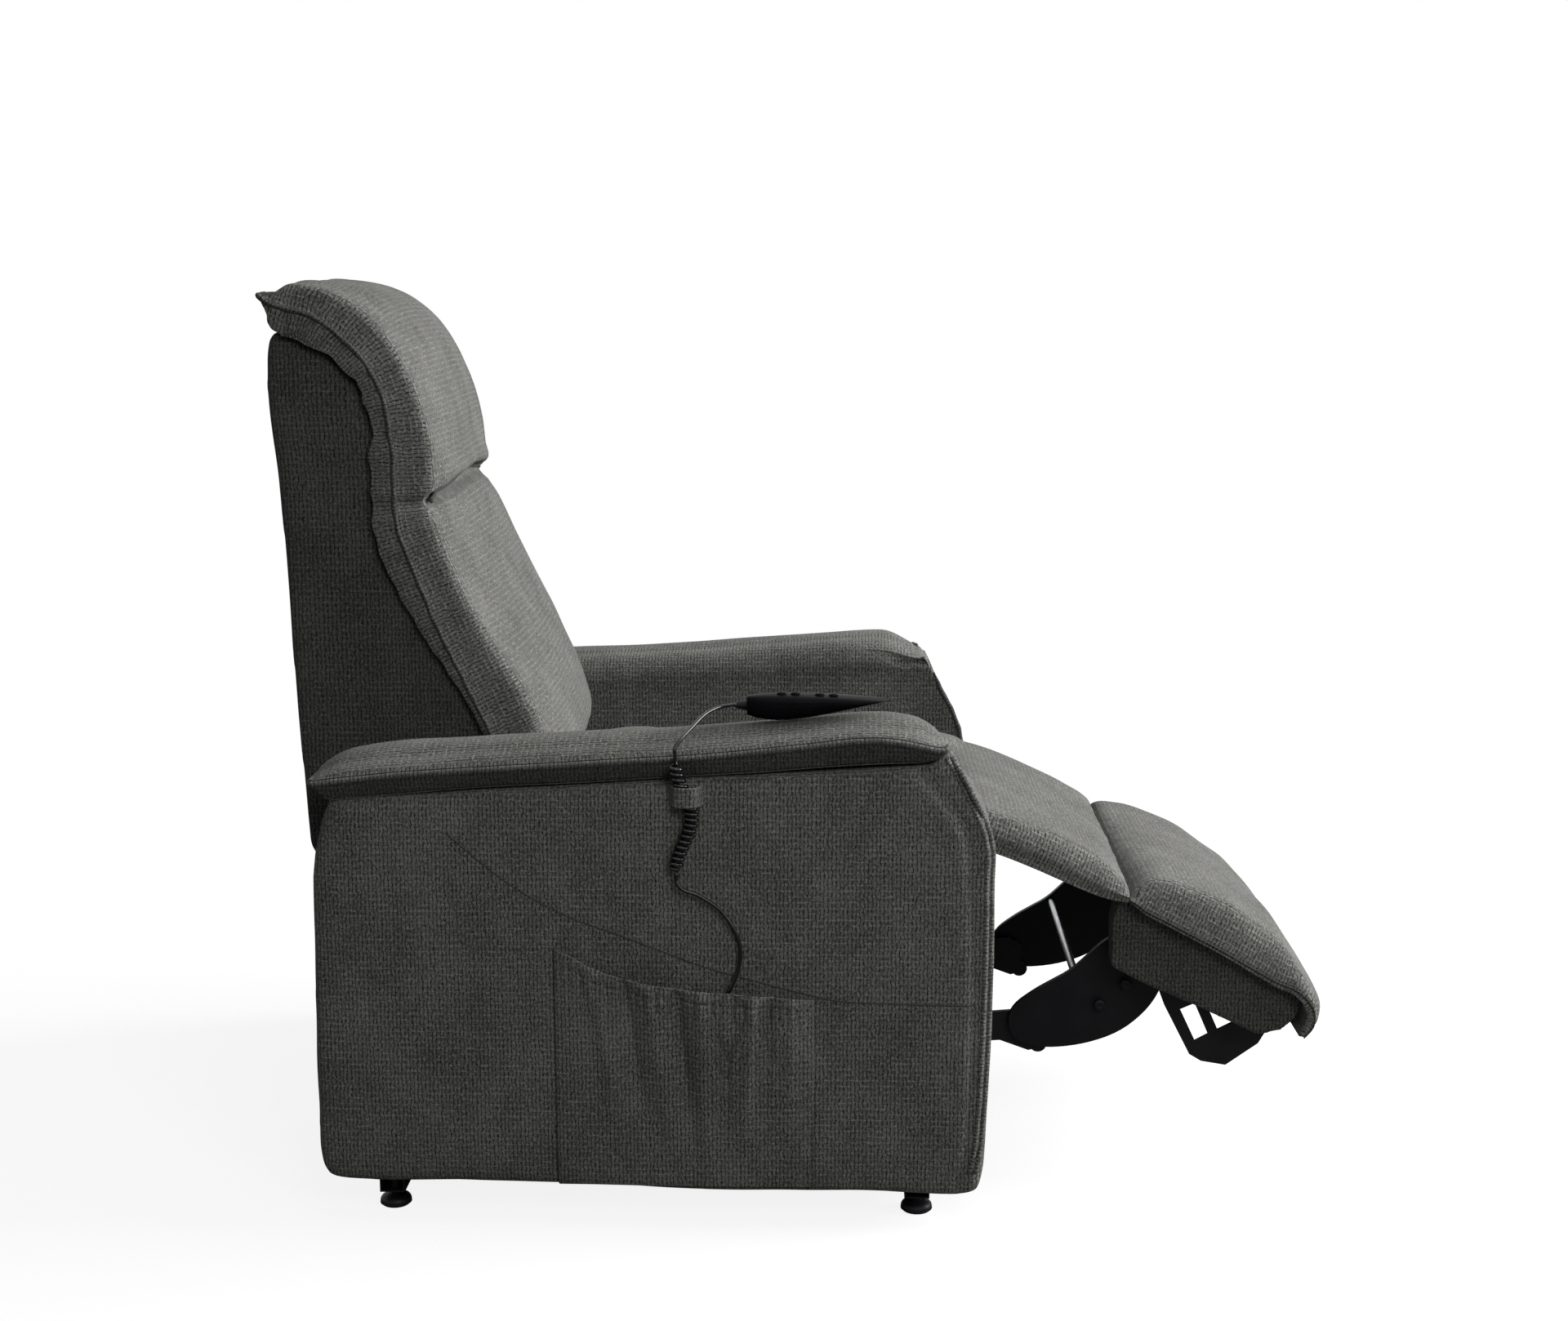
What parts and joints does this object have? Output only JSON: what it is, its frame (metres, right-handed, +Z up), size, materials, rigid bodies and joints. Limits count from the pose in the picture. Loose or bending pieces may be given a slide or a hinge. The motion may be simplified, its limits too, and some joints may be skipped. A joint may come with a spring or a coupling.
{
  "type": "lift recliner chair",
  "caption": "Upholstered lift recliner chair with two padded arms, a two-part cushioned back, a raised folding footrest and a corded handset.",
  "frame": {"origin": "on the floor, under the middle of the whole chair's box with the footrest raised", "axes": "+X forward, from the back towards the footrest; +Y to the sitter's left; +Z up"},
  "size_m": [1.2613, 0.7917, 1.1073],
  "materials": {
    "grey_cloth": "soft chenille weave, mid grey",
    "dark_cloth": "soft chenille weave, grey",
    "webbing": "woven webbing",
    "black_steel": "satin black powder coat",
    "bright_steel": "plated",
    "black_plastic": "satin black",
    "gloss_black": "glossy black",
    "cord_rubber": "smooth black"
  },
  "bodies": {
    "base": {"base_front_tube": "black_steel", "base_rear_tube": "black_steel", "base_rails": "black_steel", "pivot_ears": "black_steel", "glide_fl": "black_plastic", "glide_fr": "black_plastic", "glide_rl": "black_plastic", "glide_rr": "black_plastic", "lift_motor": "black_plastic"},
    "lift_rod": {"lift_rod": "bright_steel"},
    "lift_arms": {"lift_arms": "black_steel"},
    "stabilisers": {"stabilisers": "black_steel"},
    "chassis": {"seat_frame": "black_steel", "hangers": "black_steel", "seat_webbing": "webbing", "power_box": "black_plastic", "recline_motor": "black_plastic", "seat_cushion": "grey_cloth", "arm_right": "grey_cloth", "arm_left": "grey_cloth", "arm_pad_right": "grey_cloth", "arm_pad_left": "grey_cloth", "arm_welt_right": "grey_cloth", "arm_welt_left": "grey_cloth", "side_pocket": "grey_cloth", "cord_loop": "grey_cloth", "cord_grommet": "black_plastic", "handset": "gloss_black", "handset_gland": "black_plastic", "cord_lead": "cord_rubber", "cord_coil": "cord_rubber", "cord_tail": "cord_rubber"},
    "recline_rod": {"recline_rod": "bright_steel"},
    "backrest": {"back_shell": "dark_cloth", "back_flap": "dark_cloth", "head_cushion": "grey_cloth", "lumbar_cushion": "grey_cloth", "back_brackets": "black_steel"},
    "footrest": {"foot_board": "grey_cloth", "foot_pad": "grey_cloth", "leg_pad": "grey_cloth", "toe_brackets": "black_steel"},
    "front_links": {"front_links": "black_steel"},
    "curved_links": {"curved_links": "black_plastic", "cross_rod": "bright_steel"},
    "button_back_up": {"button_back_up": "gloss_black"},
    "button_back_down": {"button_back_down": "gloss_black"},
    "button_lift_up": {"button_lift_up": "gloss_black"},
    "button_lift_down": {"button_lift_down": "gloss_black"}
  },
  "joints": [
    {"name": "lift", "type": "hinge", "parent": "base", "child": "lift_arms", "pos_m": [0.1, 0, 0.08], "axis": [0, 1, 0], "range_deg": [0, 50]},
    {"name": "chassis_tilt", "type": "hinge", "parent": "lift_arms", "child": "chassis", "pos_m": [-0.2, 0, 0.1], "axis": [0, 1, 0], "range_deg": [-30, 2]},
    {"name": "stabiliser_swing", "type": "hinge", "parent": "base", "child": "stabilisers", "pos_m": [0.074, 0, 0.094], "axis": [0, 1, 0], "range_deg": [-2, 48]},
    {"name": "lift_rod_slide", "type": "slide", "parent": "base", "child": "lift_rod", "axis": [1, 0, 0], "range_m": [-0.002, 0.083]},
    {"name": "recline", "type": "hinge", "parent": "chassis", "child": "backrest", "pos_m": [-0.47, 0, 0.38], "axis": [0, 1, 0], "range_deg": [-38, 0]},
    {"name": "recline_rod_slide", "type": "slide", "parent": "chassis", "child": "recline_rod", "axis": [1, 0, 0], "range_m": [-0.002, 0.071]},
    {"name": "footrest", "type": "hinge", "parent": "chassis", "child": "footrest", "pos_m": [0.287, 0, 0.446], "axis": [0, 1, 0], "range_deg": [0, 61]},
    {"name": "front_link_swing", "type": "hinge", "parent": "chassis", "child": "front_links", "pos_m": [0.152, 0, 0.36], "axis": [0, 1, 0], "range_deg": [-2, 63]},
    {"name": "curved_link_swing", "type": "hinge", "parent": "front_links", "child": "curved_links", "pos_m": [0.285, 0, 0.176], "axis": [0, 1, 0], "range_deg": [-63, 2]},
    {"name": "button_back_up", "type": "slide", "parent": "chassis", "child": "button_back_up", "axis": [0, 0, -1], "range_m": [0, 0.0012], "stiffness_N_per_m": 800},
    {"name": "button_back_down", "type": "slide", "parent": "chassis", "child": "button_back_down", "axis": [0, 0, -1], "range_m": [0, 0.0012], "stiffness_N_per_m": 800},
    {"name": "button_lift_up", "type": "slide", "parent": "chassis", "child": "button_lift_up", "axis": [0, 0, -1], "range_m": [0, 0.0012], "stiffness_N_per_m": 800},
    {"name": "button_lift_down", "type": "slide", "parent": "chassis", "child": "button_lift_down", "axis": [0, 0, -1], "range_m": [0, 0.0012], "stiffness_N_per_m": 800}
  ],
  "couplings": [
    {"joint": "chassis_tilt", "follows": "lift", "ratio": -0.56},
    {"joint": "stabiliser_swing", "follows": "lift", "ratio": 0.92815},
    {"joint": "lift_rod_slide", "follows": "lift", "m_per_rad": 0.092014},
    {"joint": "recline_rod_slide", "follows": "recline", "m_per_rad": -0.10309},
    {"joint": "front_link_swing", "follows": "footrest", "ratio": 1},
    {"joint": "curved_link_swing", "follows": "footrest", "ratio": -1}
  ]
}
